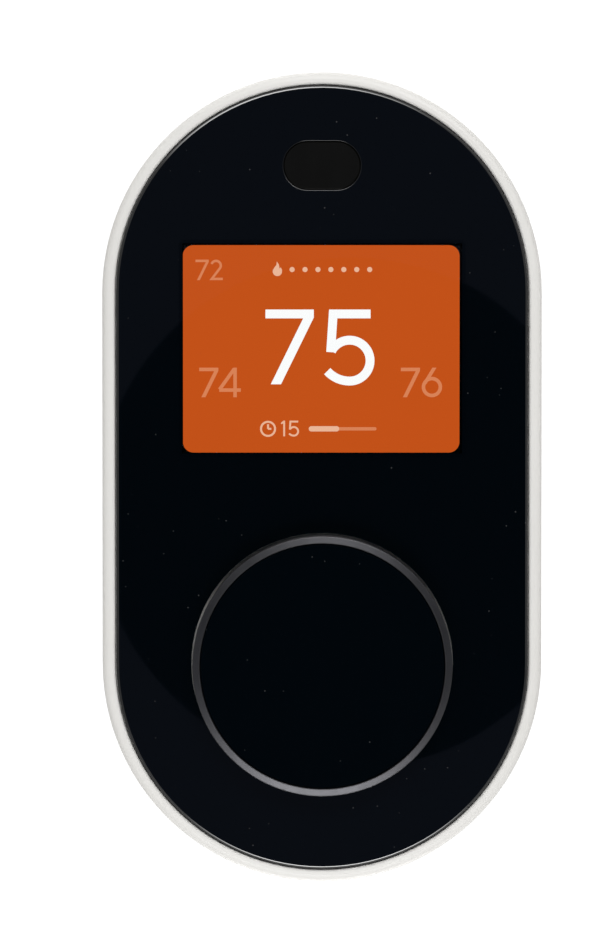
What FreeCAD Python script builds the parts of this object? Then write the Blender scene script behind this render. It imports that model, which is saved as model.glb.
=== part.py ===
"""Wall thermostat with a colour display and a push-and-turn knob, on a wall plate with wire terminals.

Every piece is drawn lying on its back: x runs across, y up the wall, and z is the distance from the wall.
stand_up() then turns it into the row frame, where +Z is up and the face looks along -Y.
The origin is the middle of the two wall screws, on the wall. All sizes are in millimetres.
"""

import FreeCAD
import Part

import math
import os

Vector = FreeCAD.Vector
X = Vector(1, 0, 0)
Y = Vector(0, 1, 0)
Z = Vector(0, 0, 1)
ORIGIN = Vector(0, 0, 0)

# ---- overall size ----
body_width = 68.4
body_height = 126.0
body_depth = 27.8  # wall to the front of the glossy panel
knob_rise = 3.6  # knob top above the panel

# ---- clearances ----
slip = 0.15  # cover and board in the housing
skin = 0.05  # shaft in its bore, tab in its slot
snug = 0.02  # pieces that are pressed, screwed or glued together
past = 1.0  # how far a cutting tool runs past what it cuts

# ---- housing and panel ----
wall_thick = 2.1
lip_drop = 0.5  # rim of the housing, behind the panel's front
lip_round = 1.3
back_round = 0.5
rim_round = 0.4  # inner edge of the rim
bulkhead_thick = 1.6
panel_thick = 1.5
panel_gap = 0.2  # between panel and rim
panel_bevel = 0.45
adhesive_thick = 0.2
adhesive_margin = 0.8
cover_thick = 1.6
vent_count = 7
vent_pitch_deg = 8.0
vent_width = 1.2
vent_length = 5.0
vent_from_back = 3.2

# ---- layout of the face: the height left over is shared out, the rest of it goes above the sensor ----
share_below_knob = 0.288
share_below_display = 0.305
share_below_sensor = 0.200

# ---- display ----
lit_width = 43.0
lit_height = 32.2
window_margin = 0.6
window_corner = 1.0
glass_margin = 2.0
glass_ledge = 5.0  # connector ledge of the glass, below the picture
glass_corner = 0.5
glass_thick = 1.0
backlight_thick = 2.4
carrier_thick = 1.0
carrier_frame = 7.0  # width of the tray's frame
carrier_leg_radius = 1.5
carrier_leg_inset = 0.5
carrier_corner = 1.5
flex_width = 16.0
flex_thick = 0.2
flex_bend = 0.5
flex_plugged = 0.9
gasket_lap = 0.3

# ---- presence sensor ----
sensor_width = 12.0
sensor_height = 7.5
sensor_sunk = 0.05
sensor_flange = 0.8
sensor_flange_thick = 0.8
sensor_break = 0.1
sensor_hole_round = 0.15  # of the opening's front edge
can_gap = 0.6  # between can and window
can_radius = 4.1
can_height = 4.2
can_round = 0.5
can_foot_radius = 4.6
can_foot_thick = 0.5
can_window = (4.0, 3.0, 0.3)
lead_count = 3
lead_circle = 2.0
lead_radius = 0.3

# ---- knob ----
knob_radius = 19.9
knob_gap = 0.35
knob_travel = 0.5
knob_sunk = 0.8  # knob skirt below the panel's front
ring_width = 1.1
ring_slope = 0.1
ring_round = 0.22
ring_break = 0.08
ring_foot_break = 0.2
cap_sunk = 0.2
cap_gap = 0.1
cap_thick = 1.3
cap_dish = 0.3
cap_break = 0.15
disc_thick = 1.4
skirt_thick = 1.4
hub_radius = 5.0
hub_hole_gap = 0.75
hub_stop = 0.2  # left between hub and bushing with the knob pressed
rib_count = 6
rib_thick = 1.2
rib_height = 0.9

# ---- encoder ----
encoder_size = 13.0
encoder_height = 5.4
encoder_cover_thick = 0.5
bushing_radius = 4.2
bushing_height = 1.1
shaft_radius = 3.0
shaft_flat = 1.5  # flat of the D, cut this deep
rotor_radius = 5.0
rotor_thick = 1.6
rotor_ledge = 2.7  # above the case's underside
pocket_floor = 1.0
pocket_radius = 3.3
detent_count = 24
detent_depth = 0.25
detent_width = 0.4
detent_length = 1.1
detent_spring_thick = 0.2
detent_finger = 0.5
dome_radius = 2.4
dome_height = 0.9
dome_thick = 0.12

# ---- boards and what they carry ----
board_thick = 1.2
board_gap = 1.4  # recess to board, for the solder joints and the pin strips
relay_size = (6.5, 10.0, 7.4)
relay_pitch = 8.0
relay_count = 4
capacitor_radius = 2.5
capacitor_height = 7.0
capacitor_round = 0.4
capacitor_offset_low = 4.0
capacitor_offset_high = 8.0
buzzer_radius = 4.5
buzzer_height = 4.0
buzzer_hole_radius = 0.8
buzzer_hole_depth = 1.5
radio_board = (16.0, 13.0, 0.8)
radio_can = (13.0, 10.0, 1.8)
radio_inset = 4.0
chip_size = (10.0, 10.0, 1.2)
memory_size = (6.0, 5.0, 1.0)
humidity_size = (3.0, 3.0, 1.1)
humidity_from_edge = 6.0
connector_size = (19.0, 4.2, 1.6)
connector_slot_depth = 1.2
strip_body_width = 2.6
part_spacing = 1.5  # least distance between parts on the board's back

# ---- screws inside the head ----
boss_radius = 3.6
boss_inset = 3.3  # screw axis to the housing's inner wall
post_radius = 2.2
post_inset = 1.0
post_clear = 2.8  # from the glass and the pin strips
screw_radius = 1.25
screw_clearance = 0.25
screw_head_radius = 2.3
screw_head_height = 1.6
screw_head_low = 1.2  # head of the board screws
screw_head_round = 0.4
screw_sunk = 2.7  # seat of the case screws, behind the cover's face
screw_bite = 5.5
screw_spare = 0.5  # hole deeper than the screw
recess_cross = (2.8, 0.7, 0.8)  # length, width and depth of the driver's cross

# ---- wall plate: opening, screws, guides, level ----
plate_floor = 2.0
plate_rim_height = 5.0
plate_rim_thick = 1.6
plate_round = 0.4
plate_inset = 1.2  # plate outline inside the housing outline
parting_gap = 0.3
wire_opening_width = 19.0
wire_opening_height = 28.0
wire_opening_corner = 3.0
collar_thick = 1.0
collar_height = 1.0
wall_screw_spacing = 83.3
wall_screw_radius = 2.25
wall_boss_radius = 5.0
wall_boss_height = 0.6
guide_size = 2.4
guide_height = 9.0
guide_x = 13.0
guide_gap = 4.5  # from the recess wall to the guide's middle
guide_clearance = 0.3
guide_break = 0.5
vial_radius = 3.2
vial_wall = 0.7
vial_length = 20.0
plug_length = 1.4
bubble_length = 6.0
bubble_depth = 1.6
cradle_thick = 2.0
cradle_wall = 1.4
cradle_hold = 0.8  # saddle above the vial's middle
level_gap = 3.6  # from the terminals to the vial

# ---- terminals ----
ways = 5
way_pitch = 7.0
collar_to_block = 1.0
block_width = 10.5
block_height = 7.6
block_end = 1.0
block_roof = 1.2
block_break = 0.4
chamber_span = 5.2
chamber_wall = 1.0
tab_size = 4.2
tab_slot = 4.6
tab_flange = 4.9
tab_flange_thick = 1.0
tab_rise = 1.8
tab_travel = 1.5
tab_break = 0.3
tab_from_inner = 4.2
tab_notch = (2.4, 0.8, 0.6)
pin_from_outer = 2.2
pin_size = 1.0
pin_hole = 1.7
pin_engage = 1.4
pin_break = 0.25
wire_hole_radius = 1.3
wire_hole_height = 2.6
wire_funnel = 0.5
strip_thick = 0.4
strip_width = 3.2
strip_clearance = 0.2
leaf_gap = 0.1
leaf_height = 4.0
leaf_width = 2.0
spring_thick = 0.25
spring_width = 2.6
spring_front = 1.9
spring_back = 2.1
spring_lift = 1.2

# ---- recess in the head's back, over the terminals and the level ----
recess_headroom = 1.2
recess_wall = 1.4
recess_clearance = 2.2
recess_corner = 4.0

# ---- worked out: outlines ----
straight = body_height - body_width
arc_y = straight / 2
body_radius = body_width / 2
inner_radius = body_radius - wall_thick
cover_radius = inner_radius - slip
board_radius = cover_radius - slip
panel_radius = inner_radius - panel_gap
plate_radius = body_radius - plate_inset

# ---- worked out: distances from the wall ----
block_top = plate_floor + block_height
tab_top = block_top + tab_rise
lip_z = body_depth - lip_drop
panel_back = body_depth - panel_thick
bulkhead_front = panel_back - adhesive_thick
bulkhead_back = bulkhead_front - bulkhead_thick
head_back = plate_rim_height + parting_gap
cover_inside = head_back + cover_thick
recess_z = tab_top + recess_headroom
recess_top_z = recess_z + recess_wall
board_back = recess_top_z + board_gap
board_front = board_back + board_thick
glass_front = bulkhead_front
glass_back = glass_front - glass_thick
backlight_back = glass_back - backlight_thick
carrier_back = backlight_back - carrier_thick
can_foot = panel_back - sensor_flange_thick - can_gap - can_height

# ---- worked out: the face, from bottom to top ----
face_height = 2 * (arc_y + panel_radius)
face_spare = face_height - 2 * knob_radius - lit_height - sensor_height
knob_y = -face_height / 2 + share_below_knob * face_spare + knob_radius
display_y = knob_y + knob_radius + share_below_display * face_spare + lit_height / 2
sensor_y = display_y + lit_height / 2 + share_below_sensor * face_spare + sensor_height / 2
glass_width = lit_width + 2 * glass_margin
glass_top_y = display_y + lit_height / 2 + glass_margin
glass_bottom_y = display_y - lit_height / 2 - glass_ledge
backlight_bottom_y = display_y - lit_height / 2 - glass_margin
flex_y = (glass_bottom_y + backlight_bottom_y) / 2
connector_front_y = flex_y - flex_bend - flex_plugged
connector_y = connector_front_y - connector_size[1] / 2

# ---- worked out: knob and encoder ----
knob_top = body_depth + knob_rise
knob_back = body_depth - knob_sunk
knob_opening = knob_radius + knob_gap
knob_inner = knob_radius - ring_width
cap_radius = knob_inner - cap_gap
cap_front = knob_top - cap_sunk
cap_back = cap_front - cap_thick
disc_back = cap_back - disc_thick
case_top = board_front + encoder_height
bushing_top = case_top + encoder_cover_thick + bushing_height
hub_back = bushing_top + knob_travel + hub_stop
shaft_back = board_front + pocket_floor + dome_height
shaft_front = disc_back + disc_thick / 2
rotor_back = board_front + rotor_ledge + skin
rotor_front = rotor_back + rotor_thick

# ---- worked out: terminals, level and recess ----
block_inner = wire_opening_width / 2 + collar_thick + collar_to_block
block_half = ways * way_pitch / 2 + block_end
block_outer = block_inner + block_width
tab_x = block_inner + tab_from_inner
pin_x = block_outer - pin_from_outer
pin_tip = plate_floor + strip_thick + leaf_height - pin_engage
pin_socket = pin_size + 2 * leaf_gap
way_places = [(i - (ways - 1) / 2) * way_pitch for i in range(ways)]
level_y = block_half + level_gap + vial_radius
level_z = plate_floor + vial_radius + snug
fluid_radius = vial_radius - vial_wall - snug
recess_width = 2 * (block_outer + recess_clearance)
recess_low = -block_half - recess_clearance
recess_high = level_y + vial_radius + recess_clearance
recess_middle = (recess_low + recess_high) / 2
guide_high = recess_high + recess_wall + guide_gap
guide_low = recess_low - recess_wall - guide_gap
guide_places = [(side * guide_x, y) for side in (-1, 1) for y in (guide_low, guide_high)]
relay_row = guide_low - guide_size / 2 - part_spacing - relay_size[1] / 2
capacitor_low = relay_row - relay_size[1] / 2 - part_spacing - capacitor_radius
capacitor_high = guide_high + guide_size / 2 + 2 * part_spacing + capacitor_radius
buzzer_y = recess_high + recess_wall + part_spacing + buzzer_radius

# ---- worked out: screws ----
boss_reach = (inner_radius - boss_inset) * math.sqrt(0.5)
boss_places = [(sx * boss_reach, sy * (arc_y + boss_reach)) for sx in (-1, 1) for sy in (-1, 1)]
post_x = inner_radius - post_radius - post_inset
post_y = min(glass_bottom_y, -ways * way_pitch / 2) - post_radius - post_clear
post_places = [(-post_x, post_y), (post_x, post_y)]
case_screw_seat = head_back + screw_sunk
wall_screw_places = [(0, -wall_screw_spacing / 2), (0, wall_screw_spacing / 2)]


# ---- drawing helpers ----
def through(z):
    """The same span of z, run past at both ends."""
    return (z[0] - past, z[1] + past)


def box(x, y, z):
    """A box from three (low, high) pairs."""
    size = [pair[1] - pair[0] for pair in (x, y, z)]
    return Part.makeBox(*size, Vector(x[0], y[0], z[0]))


def span(size, centre=0.0):
    """The (low, high) pair of this size round a centre."""
    return (centre - size / 2, centre + size / 2)


def block_at(size, x, y, z_low):
    """A box of this size, centred on x and y, standing on z_low."""
    return box(span(size[0], x), span(size[1], y), (z_low, z_low + size[2]))


def disc(radius, z, x=0.0, y=0.0):
    """A round bar along z, over a (low, high) pair."""
    return Part.makeCylinder(radius, z[1] - z[0], Vector(x, y, z[0]))


def bar_x(radius, x, y, z):
    """A round bar along x, over a (low, high) pair."""
    return Part.makeCylinder(radius, x[1] - x[0], Vector(x[0], y, z), X)


def slab(width, height, corner, z, y=0.0):
    """A rounded rectangle over a (low, high) pair. A corner of half the short side makes it a stadium."""
    corner = min(corner, width / 2, height / 2)
    dx = width / 2 - corner
    dy = height / 2 - corner
    corners = [(dx, dy), (-dx, dy), (-dx, -dy), (dx, -dy)]
    arcs = []
    for i, (cx, cy) in enumerate(corners):
        points = []
        for degrees in (90 * i, 90 * i + 45, 90 * i + 90):
            angle = math.radians(degrees)
            points.append(Vector(cx + corner * math.cos(angle), y + cy + corner * math.sin(angle), z[0]))
        arcs.append(points)
    edges = []
    for i, points in enumerate(arcs):
        edges.append(Part.Arc(*points).toShape())
        following = arcs[(i + 1) % 4][0]
        if (following - points[2]).Length > 1e-6:
            edges.append(Part.LineSegment(points[2], following).toShape())
    return Part.Face(Part.Wire(edges)).extrude(Vector(0, 0, z[1] - z[0]))


def stadium(radius, z):
    """The outline of the thermostat at this end radius, over a (low, high) pair."""
    return slab(2 * radius, straight + 2 * radius, radius, z)


def edges_at(shape, z, within=None):
    """The edges that lie flat at height z, and no further from the middle than within."""
    found = []
    for edge in shape.Edges:
        limits = edge.BoundBox
        flat = abs(limits.ZMin - z) < 1e-5 and abs(limits.ZMax - z) < 1e-5
        near = within is None or max(limits.XMax, -limits.XMin) < within + 1e-5
        if flat and near:
            found.append(edge)
    return found


def turned(profile):
    """A closed (radius, z) outline turned round the knob's axis."""
    points = [Vector(r, 0, z) for r, z in profile]
    solid = Part.Face(Part.makePolygon(points + [points[0]])).revolve(ORIGIN, Z, 360)
    solid.translate(Vector(0, knob_y, 0))
    return solid


def round_knob_axis(shape, count):
    """Copies of a shape drawn along +x from the middle, spread evenly round the knob's axis."""
    copies = []
    for i in range(count):
        copy = shape.copy()
        copy.rotate(ORIGIN, Z, i * 360 / count)
        copy.translate(Vector(0, knob_y, 0))
        copies.append(copy)
    return copies


def ribbon(points, thick, across, plane):
    """Bent strip of metal or film with mitred bends. Its centreline is a list of points in the plane
    "xz" or "yz", and it is as wide as the (low, high) pair across that plane."""
    left = []
    right = []
    for i, (u, v) in enumerate(points):
        normals = []
        for j in (i - 1, i):
            if 0 <= j < len(points) - 1:
                du = points[j + 1][0] - points[j][0]
                dv = points[j + 1][1] - points[j][1]
                length = math.hypot(du, dv)
                normals.append((-dv / length, du / length))
        nu = sum(n[0] for n in normals) / len(normals)
        nv = sum(n[1] for n in normals) / len(normals)
        offset = thick / 2 / (nu * nu + nv * nv)
        left.append((u + nu * offset, v + nv * offset))
        right.append((u - nu * offset, v - nv * offset))
    outline = left + right[::-1]
    if plane == "xz":
        corners = [Vector(u, across[0], v) for u, v in outline]
        sweep = Y * (across[1] - across[0])
    else:
        corners = [Vector(across[0], u, v) for u, v in outline]
        sweep = X * (across[1] - across[0])
    return Part.Face(Part.makePolygon(corners + [corners[0]])).extrude(sweep)


def joined(shapes):
    """One solid from pieces that touch or overlap."""
    return shapes[0].multiFuse(shapes[1:]).removeSplitter()


def without(shape, tools):
    """The shape with each tool cut out of it."""
    for tool in tools:
        shape = shape.cut(tool)
    return shape


def mirrored(shape):
    """The same piece on the other side of the middle."""
    return shape.mirror(ORIGIN, X)


# ---- outlines that several pieces share ----
def glass_outline(grow, z):
    """Outline of the display glass, ledge and all, this much larger all round."""
    height = glass_top_y - glass_bottom_y + 2 * grow
    return slab(glass_width + 2 * grow, height, glass_corner, z, (glass_top_y + glass_bottom_y) / 2)


def backlight_outline(corner, inset, z):
    """Outline of the backlight, this much smaller all round."""
    height = glass_top_y - backlight_bottom_y - 2 * inset
    return slab(glass_width - 2 * inset, height, corner, z, (glass_top_y + backlight_bottom_y) / 2)


def window_outline(grow, z):
    """Outline of the display window, this much larger all round."""
    grow = grow + window_margin
    return slab(lit_width + 2 * grow, lit_height + 2 * grow, window_corner, z, display_y)


def sensor_outline(grow, z):
    """Stadium outline of the sensor window's opening, this much larger all round."""
    height = sensor_height + 2 * grow
    return slab(sensor_width + 2 * grow, height, height / 2, z, sensor_y)


# ---- wall plate ----
def wall_plate():
    rim = stadium(plate_radius, (0, plate_rim_height))
    rim = rim.makeFillet(plate_round, edges_at(rim, 0) + edges_at(rim, plate_rim_height))
    plate = rim.cut(stadium(plate_radius - plate_rim_thick, (plate_floor, plate_rim_height + past)))
    collar = slab(
        wire_opening_width + 2 * collar_thick,
        wire_opening_height + 2 * collar_thick,
        wire_opening_corner + collar_thick,
        (0, plate_floor + collar_height),
    )
    extras = [collar, level_cradle(-1), level_cradle(1)]
    for x, y in wall_screw_places:
        extras.append(disc(wall_boss_radius, (0, plate_floor + wall_boss_height), x, y))
    for x, y in guide_places:
        extras.append(guide_post(x, y))
    z = through((0, plate_rim_height))
    cuts = [slab(wire_opening_width, wire_opening_height, wire_opening_corner, z)]
    for x, y in wall_screw_places:
        cuts.append(disc(wall_screw_radius, z, x, y))
    return without(joined([plate] + extras), cuts)


def guide_post(x, y):
    """Square post that leads the head straight on to its pins."""
    top = plate_floor + guide_height
    post = block_at((guide_size, guide_size, top), x, y, 0)
    return post.makeChamfer(guide_break, edges_at(post, top))


def level_cradle(side):
    """One of the two saddles that hold the level vial."""
    x = side * (vial_length / 2 - plug_length - cradle_thick)
    height = 2 * (vial_radius + cradle_wall)
    saddle = box(span(cradle_thick, x), span(height, level_y), (0, level_z + cradle_hold))
    return saddle.cut(bar_x(vial_radius + snug, span(vial_length), level_y, level_z))


def level_vial():
    tube = bar_x(vial_radius, span(vial_length), level_y, level_z)
    return tube.cut(bar_x(vial_radius - vial_wall, through(span(vial_length)), level_y, level_z))


def level_plugs():
    left = bar_x(fluid_radius, (-vial_length / 2, -vial_length / 2 + plug_length), level_y, level_z)
    return Part.makeCompound([left, mirrored(left)])


def level_fluid():
    """The fluid, with the hollow of its bubble at the top."""
    fluid = bar_x(fluid_radius, span(vial_length - 2 * plug_length), level_y, level_z)
    bubble_radius = (bubble_length**2 / 4 + bubble_depth**2) / (2 * bubble_depth)
    bubble_y = level_y + fluid_radius + bubble_radius - bubble_depth
    return fluid.cut(Part.makeSphere(bubble_radius, Vector(0, bubble_y, level_z)))


# ---- terminals, drawn for the right-hand side ----
def terminal_block():
    block = box((block_inner, block_outer), span(2 * block_half), (plate_floor, block_top))
    block = block.makeChamfer(block_break, edges_at(block, block_top))
    roof = (block_top - block_roof, block_top)
    cuts = []
    for y in way_places:
        chamber_x = (block_inner + chamber_wall, block_outer - chamber_wall)
        cuts.append(box(chamber_x, span(chamber_span, y), (plate_floor - past, roof[0])))
        cuts.append(box(span(tab_slot, tab_x), span(tab_slot, y), through(roof)))
        cuts.append(box(span(pin_hole, pin_x), span(pin_hole, y), through(roof)))
        wire_z = plate_floor + wire_hole_height
        cuts.append(bar_x(wire_hole_radius, through((block_inner, block_inner + chamber_wall)), y, wire_z))
        mouth = Vector(block_inner - wire_funnel, y, wire_z)
        deep = 2 * wire_funnel
        cuts.append(Part.makeCone(wire_hole_radius + deep, wire_hole_radius, deep, mouth, X))
    return without(block, cuts)


def terminal_tab(y):
    """Push tab of one way: a square button with a screwdriver notch, held in by its flange."""
    flange_top = block_top - block_roof - skin
    low = flange_top - tab_flange_thick
    flange = block_at((tab_flange, tab_flange, tab_flange_thick), tab_x, y, low)
    button = block_at((tab_size, tab_size, tab_top - low), tab_x, y, low)
    button = button.makeChamfer(tab_break, edges_at(button, tab_top))
    notch = box(span(tab_notch[0], tab_x), span(tab_notch[1], y), (tab_top - tab_notch[2], tab_top + past))
    return joined([flange, button]).cut(notch)


def contact_strip(y):
    """Spring-metal strip of one way: a foot under the wire and two leaves that grip the head's pin."""
    foot_x = (block_inner + chamber_wall + strip_clearance, block_outer - chamber_wall - strip_clearance)
    top = plate_floor + strip_thick
    shapes = [box(foot_x, span(strip_width, y), (plate_floor, top))]
    for side in (-1, 1):
        leaf_x = pin_x + side * (pin_size / 2 + leaf_gap + strip_thick / 2)
        shapes.append(box(span(strip_thick, leaf_x), span(leaf_width, y), (plate_floor, top + leaf_height)))
    return joined(shapes)


def clamp_spring(y):
    """Bent leaf of one way, between the contact strip and the tab's flange."""
    low = plate_floor + strip_thick + spring_thick / 2
    high = block_top - block_roof - skin - tab_flange_thick - spring_thick / 2
    half = spring_back * 2 / 3
    points = [
        (tab_x - half, low),
        (tab_x + spring_front, low),
        (tab_x + spring_front, high),
        (tab_x - half, high),
        (tab_x - spring_back, low + spring_lift),
    ]
    return ribbon(points, spring_thick, span(spring_width, y), "xz")


# ---- head: casing ----
def front_housing():
    shell = stadium(body_radius, (head_back, lip_z))
    shell = shell.makeFillet(lip_round, edges_at(shell, lip_z))
    shell = shell.makeFillet(back_round, edges_at(shell, head_back))
    shell = shell.cut(stadium(inner_radius, (head_back - past, bulkhead_back)))
    shell = shell.cut(stadium(inner_radius, (bulkhead_front, lip_z + past)))
    shell = shell.makeFillet(rim_round, edges_at(shell, lip_z, inner_radius))
    pillars = []
    for x, y in boss_places:
        pillars.append(disc(boss_radius, (board_front, bulkhead_front), x, y))
    for x, y in post_places:
        pillars.append(disc(post_radius, (board_front, bulkhead_front), x, y))
    bulkhead = through((bulkhead_back, bulkhead_front))
    cuts = [
        glass_outline(2 * slip, bulkhead),
        sensor_outline(sensor_flange + slip, bulkhead),
        disc(hub_radius + hub_hole_gap, bulkhead, 0, knob_y),
    ]
    screw_hole = (board_front - past, board_front + screw_bite + screw_spare)
    for x, y in boss_places + post_places:
        cuts.append(disc(screw_radius + snug, screw_hole, x, y))
    return without(joined([shell] + pillars), cuts + vents())


def vents():
    """Rows of slots through the top and bottom walls, for the air that the humidity sensor reads."""
    low = head_back + vent_from_back
    middle = (inner_radius - past, body_radius + past)
    slots = []
    for i in range(vent_count):
        pill = box(span(vent_width), middle, (low + vent_width / 2, low + vent_length - vent_width / 2))
        ends = []
        for z in (low + vent_width / 2, low + vent_length - vent_width / 2):
            ends.append(Part.makeCylinder(vent_width / 2, middle[1] - middle[0], Vector(0, middle[0], z), Y))
        slot = joined([pill] + ends)
        slot.rotate(ORIGIN, Z, (i - (vent_count - 1) / 2) * vent_pitch_deg)
        slot.translate(Vector(0, arc_y, 0))
        slots.append(slot)
        slots.append(slot.mirror(ORIGIN, Y))
    return slots


def front_panel():
    """Glossy face, with openings for the display window, the sensor window and the knob."""
    z = (panel_back, body_depth)
    panel = stadium(panel_radius, z)
    panel = panel.makeChamfer(panel_bevel, edges_at(panel, body_depth))
    panel = panel.cut(sensor_outline(0, through(z)))
    panel = panel.makeFillet(sensor_hole_round, edges_at(panel, body_depth, sensor_width / 2))
    cuts = [
        window_outline(snug, through(z)),
        disc(knob_opening, through(z), 0, knob_y),
    ]
    return without(panel, cuts)


def display_window():
    return window_outline(0, (panel_back, body_depth))


def panel_adhesive():
    z = (bulkhead_front, panel_back)
    cuts = [
        glass_outline(2 * slip, through(z)),
        sensor_outline(sensor_flange + slip, through(z)),
        disc(knob_opening + adhesive_margin, through(z), 0, knob_y),
    ]
    return without(stadium(panel_radius - adhesive_margin, z), cuts)


def sensor_window():
    """Dark moulded window in front of the presence sensor, let in from behind by its flange."""
    front = body_depth - sensor_sunk
    body = sensor_outline(-2 * skin, (panel_back - sensor_flange_thick, front))
    body = body.makeChamfer(sensor_break, edges_at(body, front))
    return joined([body, sensor_outline(sensor_flange, (panel_back - sensor_flange_thick, panel_back))])


def rear_cover():
    """Back of the head: flat cover with a tub that clears the terminals, and tubes down to the board."""
    whole = stadium(cover_radius, (head_back, board_back))
    height = recess_high - recess_low
    tub_width = recess_width + 2 * recess_wall
    tub_height = height + 2 * recess_wall
    tub = slab(tub_width, tub_height, recess_corner + recess_wall, (head_back, recess_top_z), recess_middle)
    shapes = [stadium(cover_radius, (head_back, cover_inside)), tub.common(whole)]
    cuts = [slab(recess_width, height, recess_corner, (head_back - past, recess_z), recess_middle)]
    for x, y in boss_places:
        shapes.append(disc(boss_radius, (head_back, board_back), x, y).common(whole))
        cuts.append(disc(screw_radius + screw_clearance, through((head_back, board_back)), x, y))
        cuts.append(disc(screw_head_radius + screw_clearance, (head_back - past, case_screw_seat), x, y))
    for x, y in guide_places:
        hole = span(guide_size + 2 * guide_clearance, x), span(guide_size + 2 * guide_clearance, y)
        cuts.append(box(*hole, through((head_back, cover_inside))))
    for x in (-pin_x, pin_x):
        for y in way_places:
            cuts.append(box(span(pin_socket, x), span(pin_socket, y), through((recess_z, recess_top_z))))
    return without(joined(shapes), cuts)


# ---- head: display ----
def lcd_panel():
    return glass_outline(0, (glass_back, glass_front))


def display_gasket():
    """Foam frame between the glass and the back of the panel."""
    z = (bulkhead_front, panel_back)
    width = lit_width + 2 * gasket_lap
    height = lit_height + 2 * gasket_lap
    opening = slab(width, height, window_corner, through(z), display_y)
    return glass_outline(0, z).cut(opening)


def backlight_unit():
    return backlight_outline(glass_corner, 0, (backlight_back, glass_back))


def display_carrier():
    """Tray behind the backlight, on four legs that stand on the board."""
    shapes = [backlight_outline(carrier_corner, 0, (carrier_back, backlight_back))]
    inset = carrier_leg_radius + carrier_leg_inset
    for x in (-glass_width / 2 + inset, glass_width / 2 - inset):
        for y in (backlight_bottom_y + inset, glass_top_y - inset):
            shapes.append(disc(carrier_leg_radius, (board_front, backlight_back), x, y))
    opening = backlight_outline(2 * carrier_corner, carrier_frame, through((carrier_back, backlight_back)))
    return joined(shapes).cut(opening)


def lcd_flex():
    """Film from the ledge of the glass, straight down and into the board's connector."""
    top = glass_back - flex_thick / 2
    low = board_front + connector_size[2] / 2
    points = [
        (flex_y + 2 * flex_bend, top),
        (flex_y, top - flex_bend),
        (flex_y, low + flex_bend),
        (flex_y - flex_bend, low),
        (connector_front_y - flex_plugged, low),
    ]
    return ribbon(points, flex_thick, span(flex_width), "yz")


def lcd_connector():
    housing = block_at(connector_size, 0, connector_y, board_front)
    slot_y = (connector_front_y - connector_slot_depth, connector_front_y + past)
    slot_z = span(flex_thick + 2 * skin, board_front + connector_size[2] / 2)
    return housing.cut(box(span(flex_width + 2 * slip), slot_y, slot_z))


# ---- head: board and what it carries ----
def main_board():
    z = (board_back, board_front)
    holes = [disc(screw_radius + screw_clearance, through(z), x, y) for x, y in boss_places + post_places]
    return without(stadium(board_radius, z), holes)


def sensor_leads(radius, z):
    leads = []
    for i in range(lead_count):
        angle = math.radians(90 + i * 360 / lead_count)
        leads.append(disc(radius, z, lead_circle * math.cos(angle), sensor_y + lead_circle * math.sin(angle)))
    return leads


def pir_sensor():
    """Metal can with a window in its top, on leads that reach the board."""
    top = can_foot + can_height
    can = disc(can_radius, (can_foot, top), 0, sensor_y)
    can = can.makeFillet(can_round, edges_at(can, top))
    brim = disc(can_foot_radius, (can_foot, can_foot + can_foot_thick), 0, sensor_y)
    leads = sensor_leads(lead_radius, (board_front, can_foot + can_foot_thick))
    window = box(span(can_window[0]), span(can_window[1], sensor_y), (top - can_window[2], top + past))
    return joined([can, brim] + leads).cut(window)


def pir_spacer():
    z = (board_front, can_foot)
    return without(disc(can_foot_radius, z, 0, sensor_y), sensor_leads(lead_radius + skin, through(z)))


def radio_module():
    x = -lit_width / 2 + radio_inset + radio_board[0] / 2
    y = display_y + lit_height / 2 - radio_inset - radio_board[1] / 2
    can_size = (radio_can[0], radio_can[1], radio_board[2] + radio_can[2])
    return joined([block_at(radio_board, x, y, board_front), block_at(can_size, x, y, board_front)])


def board_chips():
    """Processor and memory, clear of the radio module."""
    x = -lit_width / 2 + radio_inset + radio_board[0] + 2 * part_spacing + chip_size[0] / 2
    processor = block_at(chip_size, x, display_y, board_front)
    memory_x = x + chip_size[0] / 2 + part_spacing + memory_size[0] / 2
    return Part.makeCompound([processor, block_at(memory_size, memory_x, display_y, board_front)])


def humidity_sensor():
    return block_at(humidity_size, 0, -arc_y - board_radius + humidity_from_edge, board_front)


def relays():
    z_low = board_back - relay_size[2]
    places = [(i - (relay_count - 1) / 2) * relay_pitch for i in range(relay_count)]
    return Part.makeCompound([block_at(relay_size, x, relay_row, z_low) for x in places])


def capacitors():
    z = (board_back - capacitor_height, board_back)
    cans = []
    for offset, y in ((capacitor_offset_low, capacitor_low), (capacitor_offset_high, capacitor_high)):
        for x in (-offset, offset):
            can = disc(capacitor_radius, z, x, y)
            cans.append(can.makeFillet(capacitor_round, edges_at(can, z[0])))
    return Part.makeCompound(cans)


def buzzer():
    low = board_back - buzzer_height
    can = disc(buzzer_radius, (low, board_back), 0, buzzer_y)
    return can.cut(disc(buzzer_hole_radius, (low - past, low + buzzer_hole_depth), 0, buzzer_y))


def pin_headers():
    """Two strips that hold the contact pins square to the board."""
    strips = []
    for x in (-pin_x, pin_x):
        strip = block_at((strip_body_width, ways * way_pitch, board_gap), x, 0, recess_top_z)
        hole = pin_size + 2 * snug
        holes = [box(span(hole, x), span(hole, y), through((recess_top_z, board_back))) for y in way_places]
        strips.append(without(strip, holes))
    return Part.makeCompound(strips)


def contact_pins():
    pins = []
    for x in (-pin_x, pin_x):
        for y in way_places:
            pin = box(span(pin_size, x), span(pin_size, y), (pin_tip, board_back))
            pins.append(pin.makeChamfer(pin_break, edges_at(pin, pin_tip)))
    return Part.makeCompound(pins)


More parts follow.
